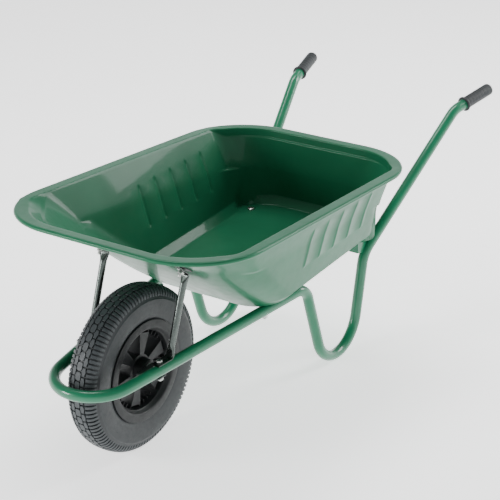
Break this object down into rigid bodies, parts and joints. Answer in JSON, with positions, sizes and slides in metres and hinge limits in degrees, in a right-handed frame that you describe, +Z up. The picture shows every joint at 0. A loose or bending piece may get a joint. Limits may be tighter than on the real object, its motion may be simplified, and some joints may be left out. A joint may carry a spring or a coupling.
{
  "type": "wheelbarrow",
  "caption": "Builder's wheelbarrow: pressed steel tray bolted to a one-piece bent tube frame with leg loops, stays, moulded grips and a pneumatic front wheel.",
  "frame": {"origin": "on the ground, under the middle of the whole object's bounding box", "axes": "+Z up, +Y from the wheel to the grips, +X to the left of the person who pushes"},
  "size_m": [0.6496, 1.4498, 0.5711],
  "materials": {
    "tray_paint": "gloss green powder coat",
    "frame_paint": "gloss green powder coat",
    "tyre_rubber": "dull dark grey rubber",
    "tube_rubber": "dull black rubber",
    "wheel_plastic": "satin black moulding",
    "grip_plastic": "dull dark grey moulding",
    "zinc": "dull zinc plate",
    "black_steel": "dull black coat",
    "bearing_steel": "ground steel",
    "valve_metal": "dull brass"
  },
  "bodies": {
    "frame": {"tray": "tray_paint", "frame_tube": "frame_paint", "rear_bearer": "frame_paint", "grip_left": "grip_plastic", "grip_right": "grip_plastic", "axle": "zinc", "axle_spacer_left": "zinc", "axle_spacer_right": "zinc", "axle_washer_left": "zinc", "axle_washer_right": "zinc", "axle_nut_left": "zinc", "axle_nut_right": "zinc", "axle_bracket_left": "black_steel", "axle_bracket_right": "black_steel", "stay_left": "zinc", "stay_right": "zinc", "clamp_bolt_left": "zinc", "clamp_bolt_right": "zinc", "clamp_nut_left": "zinc", "clamp_nut_right": "zinc", "stay_plate_left": "black_steel", "stay_plate_right": "black_steel", "stay_bolt_left": "zinc", "stay_bolt_right": "zinc", "stay_nut_left": "zinc", "stay_nut_right": "zinc", "tray_bolt_front_left": "zinc", "tray_bolt_front_right": "zinc", "tray_bolt_rear_left": "zinc", "tray_bolt_rear_right": "zinc", "tray_washer_front_left": "zinc", "tray_washer_front_right": "zinc", "tray_washer_rear_left": "zinc", "tray_washer_rear_right": "zinc", "tray_nut_front_left": "zinc", "tray_nut_front_right": "zinc", "tray_nut_rear_left": "zinc", "tray_nut_rear_right": "zinc"},
    "wheel": {"tyre": "tyre_rubber", "inner_tube": "tube_rubber", "wheel_centre": "wheel_plastic", "valve_stem": "valve_metal", "valve_cap": "wheel_plastic", "wheel_bearing_left": "bearing_steel", "wheel_bearing_right": "bearing_steel"}
  },
  "joints": [
    {"name": "wheel_spin", "type": "hinge", "parent": "frame", "child": "wheel", "pos_m": [0, -0.49212, 0.2], "axis": [1, 0, 0], "continuous": true}
  ]
}
